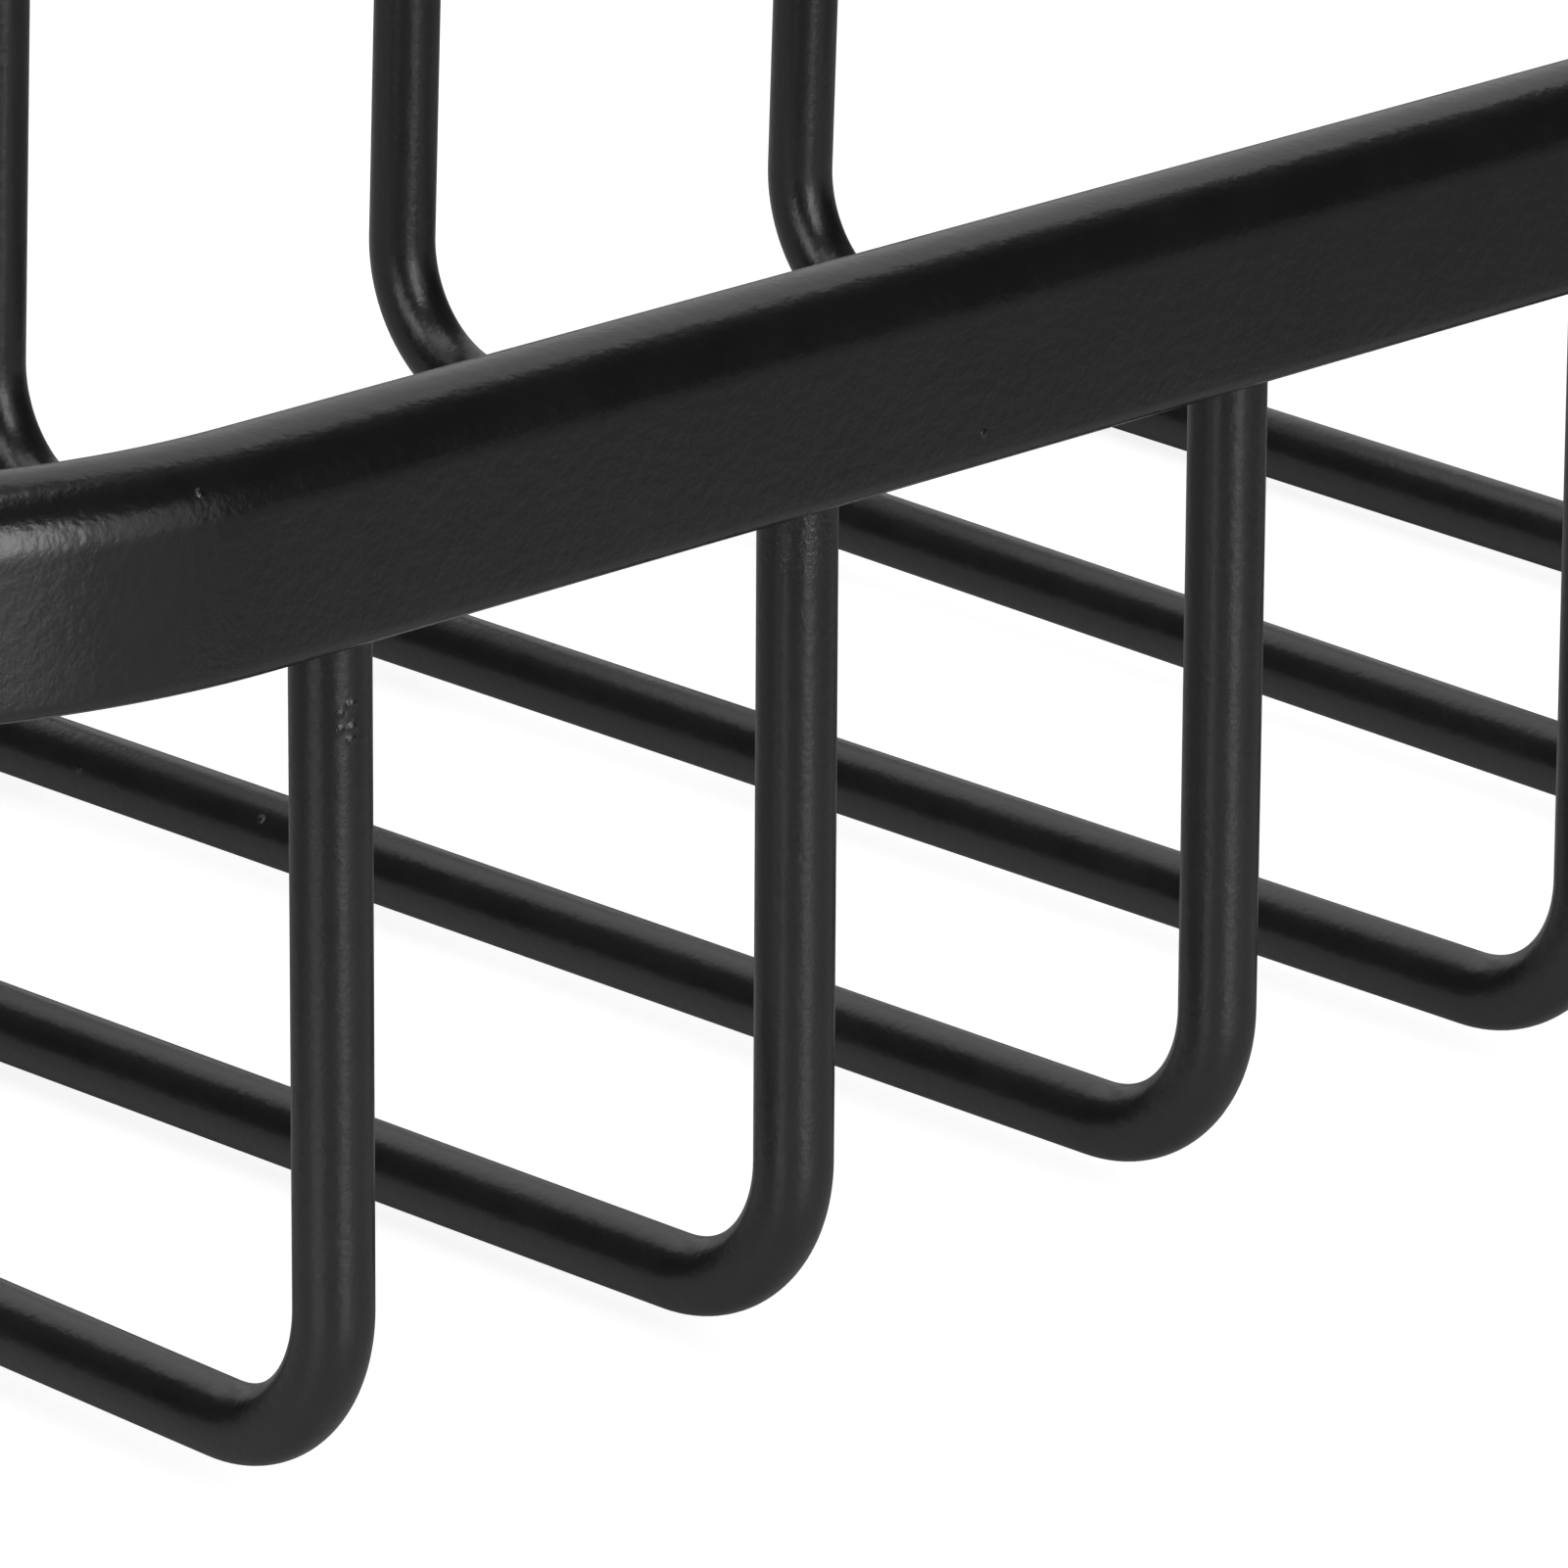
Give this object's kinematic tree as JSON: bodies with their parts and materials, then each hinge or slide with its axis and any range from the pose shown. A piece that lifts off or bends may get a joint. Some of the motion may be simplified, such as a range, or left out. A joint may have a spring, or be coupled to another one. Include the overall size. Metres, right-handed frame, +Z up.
{
  "type": "sink sponge holder",
  "caption": "Open wire basket for sponges at a sink: bent round cross wires stand in sockets under a flat rounded rim bar.",
  "frame": {"origin": "on the surface that the basket stands on, under the middle of its rim", "axes": "+X along the length to the right, +Y from the front to the back, +Z up"},
  "size_m": [0.2422, 0.1286, 0.0565],
  "materials": {
    "rim_coat": "matte black powder coat",
    "wire_coat": "matte black powder coat"
  },
  "bodies": {
    "root": {"rim_bar": "rim_coat", "cross_wire_1": "wire_coat", "cross_wire_2": "wire_coat", "cross_wire_3": "wire_coat", "cross_wire_4": "wire_coat", "cross_wire_5": "wire_coat", "cross_wire_6": "wire_coat", "cross_wire_7": "wire_coat", "cross_wire_8": "wire_coat"}
  },
  "joints": []
}
